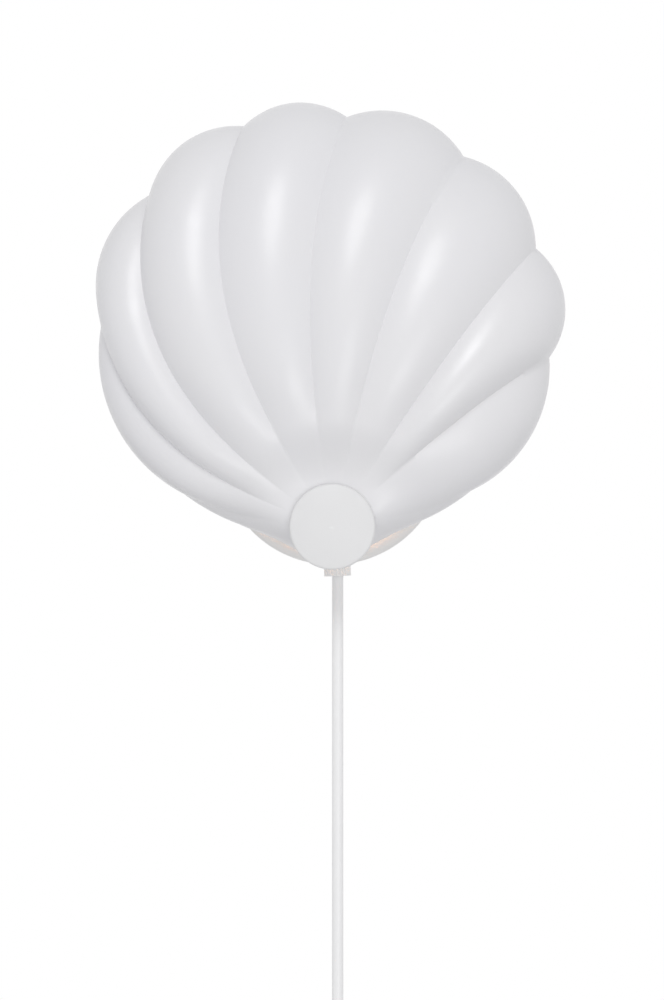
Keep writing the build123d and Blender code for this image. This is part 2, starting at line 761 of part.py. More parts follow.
def tube(points, radius, bends):
    # round wire or cord along straight runs joined by arcs
    with BuildPart() as run:
        with BuildLine():
            FilletPolyline(*points, radius=bends)
        start = Vector(*points[0])
        with BuildSketch(Plane(origin=start, z_dir=Vector(*points[1]) - start)):
            Circle(radius)
        sweep()
    return run.part


cord_x = (base_radius + grip_collar + grip_length) * outlet_x
sheath_top = (base_radius + grip_collar + grip_length) * outlet_z + cord_inside
pole_left = terminal_x - pole_spacing * 0.75
pole_right = terminal_x + pole_spacing * 0.75
block_bottom = terminal_z - terminal_height / 2
block_top = terminal_z + terminal_height / 2
wire_gap = core_radius + 0.15  # half the distance between two wires side by side
with BuildPart() as mains_wires:
    for pole, side, drop in ((pole_left, -1, 0), (pole_right, 1, 0)):
        start_x = cord_x + side * wire_gap
        add(
            tube(
                [
                    (start_x, -cord_depth, sheath_top),
                    (start_x, -cord_depth, sheath_top + 2 * wire_bend + 2 * side),
                    (pole, -terminal_middle, block_bottom - 2 * wire_bend + 2 * side),
                    (pole, -terminal_middle, block_bottom + 3),
                ],
                core_radius,
                wire_bend,
            )
        )
save(mains_wires, "mains_wires")

wire_turn = 32.0  # depth at which the wires turn up behind the shade
core_ends = (lamp_depth - core_hole_spacing / 2, lamp_depth + core_hole_spacing / 2)
with BuildPart() as holder_wires:
    for pole, side, core_end in ((pole_left, 1, core_ends[0]), (pole_right, -1, core_ends[1])):
        wire_depth = lamp_depth - side * wire_gap
        hole_z = wire_hole_z + side * wire_gap
        add(
            tube(
                [
                    (pole, -terminal_middle, block_top - 3),
                    (pole, -terminal_middle, hole_z),
                    (lamp_x, -terminal_middle, hole_z),
                    (lamp_x, side * wire_gap - wire_turn, hole_z),
                    (lamp_x, -wire_depth, nipple_bottom - wire_bend + side * wire_gap),
                    (lamp_x, -wire_depth, arm_top + holder_floor + 1),
                    (lamp_x, -core_end, core_bottom - 1),
                    (lamp_x, -core_end, core_bottom + 3),
                ],
                core_radius,
                [wire_bend, wire_bend, wire_bend, wire_bend, 1.5, 1.5],
            )
        )
save(holder_wires, "holder_wires")

# ---------------------------------------------------------------- cord grip in the base's lower edge
ring_back = base_radius + grip_collar
ring_front = ring_back + grip_length
grip_wall = 1.0  # end wall of the knurled ring
with BuildPart() as cord_grip_body:
    with BuildSketch(outlet_plane.offset(base_radius - grip_stem_inside)):
        Circle(grip_thread_radius)
    extrude(amount=grip_stem_inside + grip_collar + grip_length - grip_wall - running_gap)
    with BuildSketch(outlet_plane.offset(base_radius + running_gap)):
        Circle(grip_collar_radius)
    extrude(amount=grip_collar - running_gap)
    with BuildSketch(outlet_plane.offset(base_radius - grip_stem_inside)):
        Circle(grip_bore)
    extrude(amount=grip_stem_inside + grip_collar + grip_length, mode=Mode.SUBTRACT)
save(cord_grip_body, "cord_grip_body")

with BuildPart() as cord_grip_ring:
    with BuildSketch(outlet_plane.offset(ring_back + running_gap)):
        Circle(grip_radius - grip_rib_radius)
        with PolarLocations(grip_radius - grip_rib_radius, grip_ribs):
            Circle(grip_rib_radius)
    extrude(amount=grip_length - running_gap)
    with BuildSketch(outlet_plane.offset(ring_back)):
        Circle(grip_thread_radius + running_gap)
    extrude(amount=grip_length - grip_wall, mode=Mode.SUBTRACT)
    with BuildSketch(outlet_plane.offset(ring_back)):
        Circle(grip_bore)
    extrude(amount=grip_length, mode=Mode.SUBTRACT)
save(cord_grip_ring, "cord_grip_ring")

locknut_edge = base_radius - base_wall - grip_locknut_height - 1.3  # its corners clear the curved wall
with BuildPart() as cord_grip_locknut:
    with BuildSketch(outlet_plane.offset(locknut_edge)):
        RegularPolygon(grip_locknut_width / 2, 6, major_radius=False)
        Circle(grip_thread_radius + running_gap, mode=Mode.SUBTRACT)
    extrude(amount=grip_locknut_height)
save(cord_grip_locknut, "cord_grip_locknut")


# ---------------------------------------------------------------- cord down to the switch
def upright_cord(name, top, bottom, x, depth):
    with BuildPart() as piece:
        with BuildSketch(level(bottom, x, depth)):
            Circle(cord_radius)
        extrude(amount=top - bottom)
    save(piece, name)


outlet_bottom = ring_front * outlet_z
straight_end = 2 * cord_radius  # of the coil, at both ends
switch_top = outlet_bottom - cord_visible
switch_bottom = switch_top - switch_length
coil_middle = switch_bottom - cord_below
upright_cord("cord_in_grip", sheath_top, outlet_bottom, cord_x, cord_depth)
upright_cord("cord_hanging", outlet_bottom, switch_top, cord_x, cord_depth)
upright_cord("cord_below_switch", switch_bottom, coil_middle + straight_end, cord_x, cord_depth)

# ---------------------------------------------------------------- in-line switch
switch_z = (switch_top + switch_bottom) / 2
switch_back = cord_depth - switch_thickness / 2
switch_front = cord_depth + switch_thickness / 2
rocker_axis_depth = switch_front - switch_wall - 2.0
rocker_front = switch_front + rocker_proud
window_length = rocker_length + 2 * fit_gap + 2 * (rocker_front - rocker_axis_depth) * sin(radians(rocker_tilt))
window_width = rocker_width + 2 * fit_gap
ear_thickness = 1.5
ear_length = 6.0
pivot_radius = 1.2
post_radius = 2.4
post_places = ((6.0, 17.0), (-6.0, -17.0))
switch_screw_radius = 1.2


def switch_outline(inset):
    RectangleRounded(switch_width - 2 * inset, switch_length - 2 * inset, switch_corner - inset)


switch_inside_back = switch_back + switch_wall
switch_inside_front = switch_front - switch_wall
with BuildPart() as switch_base:
    with BuildSketch(face_on(cord_depth, cord_x, switch_z)):
        switch_outline(0.0)
    extrude(amount=-switch_thickness / 2)
    fillet(switch_base.faces().sort_by(Axis.Y)[-1].edges(), radius=switch_round)
    with BuildSketch(face_on(cord_depth, cord_x, switch_z)):
        switch_outline(switch_wall)
    extrude(amount=-(switch_thickness / 2 - switch_wall), mode=Mode.SUBTRACT)
    with BuildSketch(face_on(switch_inside_back, cord_x, switch_z)):
        with Locations(*post_places):
            Circle(post_radius)
    extrude(amount=cord_depth - switch_inside_back)
    with BuildSketch(face_on(switch_back, cord_x, switch_z)):
        with Locations(*post_places):
            Circle(switch_screw_radius + running_gap)
    extrude(amount=switch_thickness / 2, mode=Mode.SUBTRACT)
    with BuildSketch(face_on(switch_back, cord_x, switch_z)):
        with Locations(*post_places):
            Circle(2 * switch_screw_radius)
    extrude(amount=switch_wall / 2, mode=Mode.SUBTRACT)
save(switch_base, "switch_base")

with BuildPart() as switch_cover:
    with BuildSketch(face_on(cord_depth, cord_x, switch_z)):
        switch_outline(0.0)
    extrude(amount=switch_thickness / 2)
    fillet(switch_cover.faces().sort_by(Axis.Y)[0].edges(), radius=switch_round)
    with BuildSketch(face_on(cord_depth, cord_x, switch_z)):
        switch_outline(switch_wall)
    extrude(amount=switch_thickness / 2 - switch_wall, mode=Mode.SUBTRACT)
    with BuildSketch(face_on(cord_depth, cord_x, switch_z)):
        Rectangle(window_width, window_length)
    extrude(amount=switch_thickness, mode=Mode.SUBTRACT)
    with BuildSketch(face_on(rocker_axis_depth - 2 * pivot_radius, cord_x, switch_z)):
        with GridLocations(window_width + ear_thickness, 0, 2, 1):
            Rectangle(ear_thickness, ear_length)
    extrude(amount=switch_inside_front - rocker_axis_depth + 2 * pivot_radius)
    with BuildSketch(Plane(origin=(cord_x, -rocker_axis_depth, switch_z), z_dir=(1, 0, 0))):
        Circle(pivot_radius + running_gap)
    extrude(amount=window_width / 2 + ear_thickness, both=True, mode=Mode.SUBTRACT)
    with BuildSketch(face_on(cord_depth, cord_x, switch_z)):
        with Locations(*post_places):
            Circle(post_radius)
            Circle(switch_screw_radius - 2 * running_gap, mode=Mode.SUBTRACT)
    extrude(amount=switch_inside_front - cord_depth)
save(switch_cover, "switch_cover")

screw_grip = 4.0  # length of screw in the cover's posts
with BuildPart() as switch_screws:
    with BuildSketch(face_on(switch_back, cord_x, switch_z)):
        with Locations(*post_places):
            Circle(2 * switch_screw_radius - running_gap)
    extrude(amount=switch_wall / 2)
    with BuildSketch(face_on(switch_back + switch_wall / 2, cord_x, switch_z)):
        with Locations(*post_places):
            Circle(switch_screw_radius)
    extrude(amount=cord_depth - switch_back - switch_wall / 2 - running_gap)
    with BuildSketch(face_on(cord_depth - running_gap, cord_x, switch_z)):
        with Locations(*post_places):
            Circle(switch_screw_radius - 3 * running_gap)
    extrude(amount=screw_grip)
    with BuildSketch(face_on(switch_back, cord_x, switch_z)):
        with Locations(*post_places):
            Rectangle(4 * switch_screw_radius, slot_width / 2)
    extrude(amount=switch_wall / 4, mode=Mode.SUBTRACT)
save(switch_screws, "switch_screws")

# the rocker rests tilted to its off side
rocker_out = (0, -cos(radians(rocker_tilt)), sin(radians(rocker_tilt)))
rocker_plane = Plane(origin=(cord_x, -rocker_axis_depth, switch_z), x_dir=rocker_out, z_dir=(-1, 0, 0))
with BuildPart() as switch_rocker:
    with BuildSketch(rocker_plane):
        with BuildLine():
            front = rocker_front - rocker_axis_depth
            half = rocker_length / 2
            Polyline((front, half), (-pivot_radius * 1.5, half / 2), (-pivot_radius * 1.5, -half / 2), (front, -half))
            ThreePointArc((front, -half), (front - rocker_proud / 2, 0), (front, half))
        make_face()
    extrude(amount=rocker_width / 2, both=True)
    with BuildSketch(rocker_plane):
        Circle(pivot_radius)
    extrude(amount=window_width / 2 + ear_thickness - running_gap, both=True)
save(switch_rocker, "switch_rocker")

contact_strip = 1.0
contact_rise = 5.0
with BuildPart() as switch_contacts:
    with BuildSketch(face_on(switch_inside_back, cord_x, switch_z)):
        with GridLocations(0, rocker_length, 1, 2):
            Rectangle(rocker_width / 2, contact_strip)
    extrude(amount=contact_rise)
    with BuildSketch(face_on(switch_inside_back, cord_x, switch_z)):
        with GridLocations(0, rocker_length, 1, 2):
            Rectangle(rocker_width / 2, rocker_length / 3)
    extrude(amount=contact_strip)
save(switch_contacts, "switch_contacts")

# ---------------------------------------------------------------- coil of the spare cord
# Two layers: half turns spiral in on the first layer, climb in the half turn where the spiral
# reverses, and spiral out again on the second.
pitch = 2 * cord_radius + coil_gap
coil_outer_radius = coil_inner_radius + coil_turns_in * pitch / 2
coil_x = cord_x - coil_outer_radius
coil_half_turns = coil_turns_in + 1 + coil_turns_out
top_layer_depth = cord_depth + pitch


def coil_reach(number):
    # distance from the coil's middle after this many half turns
    if number <= coil_turns_in:
        return coil_outer_radius - number * pitch / 2
    if number == coil_turns_in + 1:
        return coil_inner_radius - pitch / 4
    return coil_inner_radius + (number - coil_turns_in - 1) * pitch / 2


def coil_place(number):
    side = 1 if number % 2 == 0 else -1
    depth = cord_depth if number <= coil_turns_in else top_layer_depth
    return Vector(coil_x + side * coil_reach(number), -depth, coil_middle)


coil_start = coil_place(0)
coil_end = coil_place(coil_half_turns)
with BuildLine() as coil_path:
    Line(coil_start + Vector(0, 0, straight_end), coil_start)
    for number in range(coil_half_turns):
        near, far = coil_place(number), coil_place(number + 1)
        downward = -1 if number % 2 == 0 else 1
        middle = (near + far) / 2 + Vector(0, 0, downward * (far - near).length / 2)
        ThreePointArc(near, middle, far)
    Line(coil_end, coil_end - Vector(0, 0, straight_end))
with BuildPart() as cord_coil:
    add(coil_path.line)
    with BuildSketch(level(coil_middle + straight_end, coil_start.X, cord_depth)):
        Circle(cord_radius)
    sweep()
save(cord_coil, "cord_coil")

coil_length = sum(edge.length for edge in coil_path.edges())
coil_samples = []
for number, edge in enumerate(coil_path.edges()):
    for step in range(24):
        coil_samples.append((number, edge @ (step / 24)))
coil_clear = min(
    (a - b).length for i, a in coil_samples for j, b in coil_samples if abs(i - j) > 1
)
print("coil length", round(coil_length), "mm, volume over section times length",
      round(cord_coil.part.volume / (coil_length * pi * cord_radius**2), 4),
      "least gap between turns", round(coil_clear - 2 * cord_radius, 2), "mm")

tie_inner = coil_reach(coil_turns_in) - cord_radius - tie_slack_inside
tie_outer = coil_reach(1) + cord_radius + tie_slack_outside
tie_back = cord_depth - cord_radius - tie_slack_outside
tie_front = top_layer_depth + cord_radius + tie_slack_outside
with BuildPart() as coil_tie:
    tie_x = coil_x - (tie_inner + tie_outer) / 2
    with BuildSketch(level(coil_middle - tie_width / 2, tie_x, (tie_back + tie_front) / 2)):
        RectangleRounded(
            tie_outer - tie_inner + 2 * tie_thickness, tie_front - tie_back + 2 * tie_thickness, cord_radius
        )
        RectangleRounded(
            tie_outer - tie_inner, tie_front - tie_back, cord_radius - tie_thickness, mode=Mode.SUBTRACT
        )
    extrude(amount=tie_width)
save(coil_tie, "coil_tie")

# ---------------------------------------------------------------- plug
plug_top = coil_middle - plug_drop
plug_bottom = plug_top - plug_length
plug_x = coil_end.X
upright_cord("cord_to_plug", coil_middle - straight_end, plug_top, plug_x, top_layer_depth)
plug_neck = 2.4 * cord_radius
plug_shoulder = 14.0  # below the cord, where the plug reaches its full width
plug_foot = 6.0
with BuildPart() as plug_body:
    with BuildSketch(face_on(top_layer_depth - plug_thickness / 2, plug_x, plug_top)):
        with BuildLine():
            Polyline(
                (-plug_neck, 0),
                (plug_neck, 0),
                (plug_width / 2, -plug_shoulder),
                (plug_width / 2, plug_foot - plug_length),
                (plug_width / 2 - plug_foot / 2, -plug_length),
                (plug_foot / 2 - plug_width / 2, -plug_length),
                (-plug_width / 2, plug_foot - plug_length),
                (-plug_width / 2, -plug_shoulder),
                close=True,
            )
        make_face()
    extrude(amount=plug_thickness)
    fillet(plug_body.edges().filter_by(Axis.Y), radius=2.5)
    fillet(plug_body.faces().filter_by(Axis.Y).edges(), radius=2.0)
save(plug_body, "plug_body")

sleeve_length = plug_pin_length / 2
sleeve_bore = plug_pin_radius - 0.3
with BuildPart() as plug_pins:
    with BuildSketch(level(plug_bottom - plug_pin_length, plug_x, top_layer_depth)):
        with GridLocations(plug_pin_spacing, 0, 2, 1):
            Circle(plug_pin_radius)
    extrude(amount=plug_pin_length - sleeve_length)
    fillet(plug_pins.edges().group_by(Axis.Z)[0], radius=plug_pin_radius / 2)
    with BuildSketch(level(plug_bottom - sleeve_length, plug_x, top_layer_depth)):
        with GridLocations(plug_pin_spacing, 0, 2, 1):
            Circle(sleeve_bore - running_gap)
    extrude(amount=sleeve_length)
save(plug_pins, "plug_pins")

with BuildPart() as plug_pin_sleeves:
    with BuildSketch(level(plug_bottom - sleeve_length, plug_x, top_layer_depth)):
        with GridLocations(plug_pin_spacing, 0, 2, 1):
            Circle(plug_pin_radius)
            Circle(sleeve_bore, mode=Mode.SUBTRACT)
    extrude(amount=sleeve_length)
save(plug_pin_sleeves, "plug_pin_sleeves")

cord_length = cord_inside + cord_visible + cord_below + coil_length + plug_drop - 2 * straight_end
print("cord length", round(cord_length), "mm")
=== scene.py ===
# Shell wall lamp: looks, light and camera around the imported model.
from math import atan2, cos, degrees, hypot, pi, radians, sin

import bpy
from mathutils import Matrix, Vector


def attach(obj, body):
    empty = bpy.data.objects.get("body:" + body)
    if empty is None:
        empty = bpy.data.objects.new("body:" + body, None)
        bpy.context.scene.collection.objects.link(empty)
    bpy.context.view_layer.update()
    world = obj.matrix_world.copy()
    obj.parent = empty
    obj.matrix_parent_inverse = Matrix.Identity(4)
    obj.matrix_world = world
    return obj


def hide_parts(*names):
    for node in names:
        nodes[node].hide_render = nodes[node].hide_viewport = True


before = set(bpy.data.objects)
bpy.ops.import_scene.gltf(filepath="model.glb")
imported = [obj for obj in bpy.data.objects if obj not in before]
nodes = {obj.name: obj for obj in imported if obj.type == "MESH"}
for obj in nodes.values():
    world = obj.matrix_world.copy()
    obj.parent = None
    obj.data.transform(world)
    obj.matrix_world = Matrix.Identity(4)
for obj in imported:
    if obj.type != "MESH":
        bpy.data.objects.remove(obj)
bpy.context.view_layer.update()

scene = bpy.context.scene
scene.view_settings.view_transform = "Standard"


# camera: two degrees to the right of straight on, level with the middle of the picture
view = {
    "azimuth": 2.0, "distance": 2.5, "height": 0.540, "sensor": 36,
    "aim": (0.001117, -0.050, -0.02616),
}


def makeCamera(look):
    turn = radians(look["azimuth"])
    back = Vector((sin(turn), -cos(turn), 0))
    data = bpy.data.cameras.new("camera")
    data.sensor_width = look["sensor"]
    data.lens = look["sensor"] * look["distance"] / look["height"]
    camera = bpy.data.objects.new("camera", data)
    scene.collection.objects.link(camera)
    camera.location = Vector(look["aim"]) + back * look["distance"]
    camera.rotation_mode = "QUATERNION"
    camera.rotation_quaternion = (-back).to_track_quat("-Z", "Y")
    scene.camera = camera


makeCamera(view)
print("camera set")


# shader maths
class Amount:
    # a number or colour that changes over a surface
    def __init__(self, recipe, socket):
        self.recipe, self.socket = recipe, socket

    def combine(self, operation, first, second):
        return self.recipe.node("ShaderNodeMath", {"operation": operation}, {0: first, 1: second})

    def __add__(self, other):
        return self.combine("ADD", self, other)

    def __mul__(self, other):
        return self.combine("MULTIPLY", self, other)


class Recipe:
    def __init__(self, name):
        self.material = bpy.data.materials.new(name)
        self.material.use_nodes = True
        self.tree = self.material.node_tree
        self.tree.nodes.clear()

    def node(self, kind, settings=None, sockets=None, output=0):
        made = self.tree.nodes.new(kind)
        for key, value in (settings or {}).items():
            setattr(made, key, value)
        for key, value in (sockets or {}).items():
            if isinstance(value, Amount):
                self.tree.links.new(value.socket, made.inputs[key])
            else:
                made.inputs[key].default_value = value
        return Amount(self, made.outputs[output])

    def place(self):
        return self.node("ShaderNodeTexCoord", output="Object")

    def noise(self, scale, detail=3.0, roughness=0.5, place=None):
        sockets = {"Vector": place or self.place(), "Scale": scale, "Detail": detail, "Roughness": roughness}
        return self.node("ShaderNodeTexNoise", {}, sockets, "Fac")

    def stretched(self, scale):
        return self.node("ShaderNodeMapping", {}, {"Vector": self.place(), "Scale": scale})

    def limits(self, value, low, high, start=0.0, end=1.0):
        # spread a value between start and end over low to high
        return self.node("ShaderNodeMapRange", {"clamp": True}, {0: value, 1: start, 2: end, 3: low, 4: high})

    def between(self, share, first, second):
        settings = {"data_type": "RGBA", "blend_type": "MIX"}
        first = (*first, 1) if isinstance(first, tuple) else first
        second = (*second, 1) if isinstance(second, tuple) else second
        return self.node("ShaderNodeMix", settings, {0: share, 6: first, 7: second}, 2)

    def bump(self, height, distance, strength=1.0):
        return self.node("ShaderNodeBump", {}, {"Height": height, "Distance": distance, "Strength": strength})

    def finish(self, sockets):
        shader = self.node("ShaderNodeBsdfPrincipled", {}, sockets)
        out = self.tree.nodes.new("ShaderNodeOutputMaterial")
        self.tree.links.new(shader.socket, out.inputs["Surface"])
        return self.material


def shade(colour, factor):
    return tuple(min(1.0, part * factor) for part in colour)


plasticSurface = {
    "cloudDetail": 2.0, "grainDetail": 2.0, "grainContrast": 0.6, "dark": 0.97, "pale": 1.02,
    "grainShare": 0.4, "smoother": 0.05, "rougher": 0.07, "from": 0.3, "to": 1.1, "coatRough": 0.2,
}
paintSurface = {
    "cloudDetail": 2.0, "peelDetail": 1.0, "dark": 0.975,
    "spread": 0.06, "from": 0.3, "to": 0.7, "coatRough": 0.25,
}
metalSurface = {
    "streakDetail": 3.0, "streakContrast": 0.6, "stainScale": 55.0, "stainDetail": 3.0, "dark": 0.86,
    "streakShare": 0.6, "stainShare": 0.4, "smoother": 0.08, "rougher": 0.1, "from": 0.3, "to": 0.7,
}


def mouldedPlastic(name, look):
    kind = plasticSurface
    recipe = Recipe(name)
    cloud = recipe.noise(look["cloud"], kind["cloudDetail"])
    grain = recipe.noise(look["grain"], kind["grainDetail"], kind["grainContrast"])
    dark, pale = shade(look["colour"], kind["dark"]), shade(look["colour"], kind["pale"])
    low, high = look["rough"] - kind["smoother"], look["rough"] + kind["rougher"]
    return recipe.finish({
        "Base Color": recipe.between(cloud, dark, pale),
        "Roughness": recipe.limits(cloud + grain * kind["grainShare"], low, high, kind["from"], kind["to"]),
        "Coat Weight": look["coat"],
        "Coat Roughness": kind["coatRough"],
        "Normal": recipe.bump(grain, look["bump"]),
    })


def paintedMetal(name, look):
    kind = paintSurface
    recipe = Recipe(name)
    cloud = recipe.noise(look["cloud"], kind["cloudDetail"])
    peel = recipe.noise(look["peel"], kind["peelDetail"])  # the slight unevenness of sprayed powder
    low, high = look["rough"] - kind["spread"], look["rough"] + kind["spread"]
    return recipe.finish({
        "Base Color": recipe.between(cloud, shade(look["colour"], kind["dark"]), look["colour"]),
        "Roughness": recipe.limits(peel, low, high, kind["from"], kind["to"]),
        "Coat Weight": look["coat"],
        "Coat Roughness": kind["coatRough"],
        "Normal": recipe.bump(peel, look["bump"]),
    })


def platedMetal(name, look):
    kind = metalSurface
    recipe = Recipe(name)
    along = recipe.stretched(look["stretch"])
    streak = recipe.noise(look["scale"], kind["streakDetail"], kind["streakContrast"], along)
    stain = recipe.noise(kind["stainScale"], kind["stainDetail"])
    mixed = streak * kind["streakShare"] + stain * kind["stainShare"]
    low, high = look["rough"] - kind["smoother"], look["rough"] + kind["rougher"]
    return recipe.finish({
        "Base Color": recipe.between(stain, shade(look["colour"], kind["dark"]), look["colour"]),
        "Metallic": 1.0,
        "Roughness": recipe.limits(mixed, low, high, kind["from"], kind["to"]),
        "Normal": recipe.bump(streak, look["bump"]),
    })


# finishes, each dressed onto the pieces listed with it
def shellGlaze():
    look = {
        "colour": (0.81, 0.805, 0.81), "cool": (0.785, 0.785, 0.81), "poreColour": (0.80, 0.79, 0.79),
        "broad": 9.0, "pool": 70.0, "pore": 900.0, "detail": 2.0, "poreContrast": 0.6,
        "poreShare": 0.25, "poreFrom": 0.62, "poreTo": 0.8,
        "rough": 0.38, "smoother": 0.05, "rougher": 0.08, "from": 0.3, "to": 0.7,
        "coat": 0.35, "coatRough": 0.24, "poolRise": 0.7, "poreRise": 0.08, "bump": 0.00022, "strength": 0.6,
    }
    recipe = Recipe("shellGlaze")
    broad = recipe.noise(look["broad"], look["detail"])
    pool = recipe.noise(look["pool"], look["detail"])
    pore = recipe.noise(look["pore"], look["detail"], look["poreContrast"])
    pores = recipe.limits(pore, 0.0, look["poreShare"], look["poreFrom"], look["poreTo"])
    colour = recipe.between(broad, look["cool"], look["colour"])
    low, high = look["rough"] - look["smoother"], look["rough"] + look["rougher"]
    rise = pool * look["poolRise"] + pore * look["poreRise"]
    return recipe.finish({
        "Base Color": recipe.between(pores, colour, look["poreColour"]),
        "Roughness": recipe.limits(pool, low, high, look["from"], look["to"]),
        "Coat Weight": look["coat"],
        "Coat Roughness": look["coatRough"],
        "Normal": recipe.bump(rise, look["bump"], look["strength"]),
    })


def frostedGlow():
    look = {
        "thick": (0.93, 0.90, 0.84), "thin": (0.97, 0.95, 0.90), "cloud": 60.0, "detail": 2.0,
        "smooth": 0.3, "rough": 0.45, "dim": (1.0, 0.66, 0.36), "bright": (1.0, 0.72, 0.42), "glow": 6.0,
        "frost": 1500.0, "frostDetail": 1.0, "bump": 0.00003,
    }
    recipe = Recipe("frostedGlow")
    cloud = recipe.noise(look["cloud"], look["detail"])
    return recipe.finish({
        "Base Color": recipe.between(cloud, look["thick"], look["thin"]),
        "Roughness": recipe.limits(cloud, look["smooth"], look["rough"]),
        "Emission Color": recipe.between(cloud, look["dim"], look["bright"]),
        "Emission Strength": look["glow"],
        "Normal": recipe.bump(recipe.noise(look["frost"], look["frostDetail"]), look["bump"]),
    })


plastics = {
    "capWhite": {
        "pieces": ["cap_disc"],
        "colour": (0.79, 0.79, 0.792), "cloud": 25.0, "grain": 1400.0, "rough": 0.5, "coat": 0.05,
        "bump": 0.00004,
    },
    "holderPlastic": {
        "pieces": ["lampholder_body"],
        "colour": (0.84, 0.83, 0.79), "cloud": 40.0, "grain": 900.0, "rough": 0.42, "coat": 0.1,
        "bump": 0.00005,
    },
    "coreCeramic": {
        "pieces": ["lampholder_core"],
        "colour": (0.83, 0.81, 0.76), "cloud": 60.0, "grain": 700.0, "rough": 0.6, "coat": 0.0,
        "bump": 0.0001,
    },
    "sealRubber": {
        "pieces": ["shade_seal"],
        "colour": (0.74, 0.74, 0.71), "cloud": 60.0, "grain": 900.0, "rough": 0.6, "coat": 0.0,
        "bump": 0.00006,
    },
    "bulbBlack": {
        "pieces": ["bulb_insulator"],
        "colour": (0.02, 0.02, 0.024), "cloud": 90.0, "grain": 800.0, "rough": 0.2, "coat": 0.3,
        "bump": 0.00003,
    },
    "terminalPlastic": {
        "pieces": ["terminal_block"],
        "colour": (0.80, 0.80, 0.75), "cloud": 60.0, "grain": 1000.0, "rough": 0.5, "coat": 0.0,
        "bump": 0.00005,
    },
    "wireCover": {
        "pieces": ["mains_wires", "holder_wires"],
        "colour": (0.78, 0.77, 0.72), "cloud": 80.0, "grain": 1200.0, "rough": 0.35, "coat": 0.1,
        "bump": 0.00003,
    },
    "gripWhite": {
        "pieces": ["cord_grip_body", "cord_grip_ring", "cord_grip_locknut"],
        "colour": (0.93, 0.93, 0.925), "cloud": 60.0, "grain": 1100.0, "rough": 0.42,
        "coat": 0.08, "bump": 0.00005,
    },
    "switchWhite": {
        "pieces": ["switch_base", "switch_cover", "switch_rocker"],
        "colour": (0.85, 0.85, 0.85), "cloud": 40.0, "grain": 1500.0, "rough": 0.3, "coat": 0.2,
        "bump": 0.00003,
    },
    "tieWhite": {
        "pieces": ["coil_tie"],
        "colour": (0.82, 0.82, 0.82), "cloud": 60.0, "grain": 500.0, "rough": 0.65, "coat": 0.0,
        "bump": 0.00012,
    },
    "plugWhite": {
        "pieces": ["plug_body"],
        "colour": (0.84, 0.84, 0.84), "cloud": 40.0, "grain": 700.0, "rough": 0.48, "coat": 0.05,
        "bump": 0.00008,
    },
    "pinSleeve": {
        "pieces": ["plug_pin_sleeves"],
        "colour": (0.80, 0.80, 0.80), "cloud": 90.0, "grain": 1100.0, "rough": 0.45, "coat": 0.0,
        "bump": 0.00004,
    },
}
paints = {
    "whiteMetal": {
        "pieces": ["base_cup", "holder_bracket", "spacer_sleeve"],
        "colour": (0.87, 0.86, 0.845), "cloud": 20.0, "peel": 480.0, "rough": 0.42, "coat": 0.15,
        "bump": 0.00006,
    },
}
metals = {
    "zincSteel": {
        "pieces": ["wall_bracket", "stud_washer", "holder_nut", "holder_screw_nuts", "stud_nut"],
        "colour": (0.66, 0.67, 0.69), "scale": 120.0, "stretch": (1, 1, 6), "rough": 0.36,
        "bump": 0.00005,
    },
    "screwMetal": {
        "pieces": ["base_screws", "holder_screws", "terminal_screw", "switch_screws"],
        "colour": (0.72, 0.72, 0.72), "scale": 400.0, "stretch": (1, 1, 1), "rough": 0.3,
        "bump": 0.00003,
    },
    "studBrass": {
        "pieces": ["stud", "holder_nipple", "cap_insert"],
        "colour": (0.78, 0.62, 0.33), "scale": 150.0, "stretch": (1, 8, 1), "rough": 0.32,
        "bump": 0.00004,
    },
    "contactBrass": {
        "pieces": ["lampholder_sleeve", "lampholder_contact", "switch_contacts",
            "terminal_clamps"],
        "colour": (0.82, 0.68, 0.40), "scale": 260.0, "stretch": (1, 1, 3), "rough": 0.3,
        "bump": 0.00003,
    },
    "bulbMetal": {
        "pieces": ["bulb_thread", "bulb_tip"],
        "colour": (0.78, 0.78, 0.78), "scale": 300.0, "stretch": (1, 1, 8), "rough": 0.28,
        "bump": 0.00004,
    },
    "pinMetal": {
        "pieces": ["plug_pins"],
        "colour": (0.74, 0.73, 0.71), "scale": 300.0, "stretch": (1, 1, 0.2), "rough": 0.22,
        "bump": 0.00002,
    },
}


def dress(names, material):
    for name in names:
        nodes[name].data.materials.clear()
        nodes[name].data.materials.append(material)


finishes = {}
for make, group in ((mouldedPlastic, plastics), (paintedMetal, paints), (platedMetal, metals)):
    for name, look in group.items():
        finishes[name] = make(name, look)
        dress(look["pieces"], finishes[name])
finishes["shellGlaze"] = shellGlaze()
finishes["frostedGlow"] = frostedGlow()
dress(["shell_shade"], finishes["shellGlaze"])
dress(["bulb_glass", "bulb_light_post"], finishes["frostedGlow"])


def cordSheath():
    look = {
        "colour": (0.92, 0.92, 0.92), "dark": 0.97, "cloud": 45.0, "lines": 700.0, "detail": 2.0,
        "lineContrast": 0.6, "stretch": (1, 1, 0.06), "cloudShare": 0.5, "lineShare": 0.5,
        "rough": 0.34, "smoother": 0.05, "rougher": 0.08, "from": 0.3, "to": 0.7,
        "coat": 0.15, "coatRough": 0.3, "bump": 0.00004,
    }
    recipe = Recipe("cordSheath")
    cloud = recipe.noise(look["cloud"], look["detail"])
    along = recipe.stretched(look["stretch"])
    lines = recipe.noise(look["lines"], look["detail"], look["lineContrast"], along)
    mixed = cloud * look["cloudShare"] + lines * look["lineShare"]
    low, high = look["rough"] - look["smoother"], look["rough"] + look["rougher"]
    return recipe.finish({
        "Base Color": recipe.between(cloud, shade(look["colour"], look["dark"]), look["colour"]),
        "Roughness": recipe.limits(mixed, low, high, look["from"], look["to"]),
        "Coat Weight": look["coat"],
        "Coat Roughness": look["coatRough"],
        "Normal": recipe.bump(lines, look["bump"]),
    })


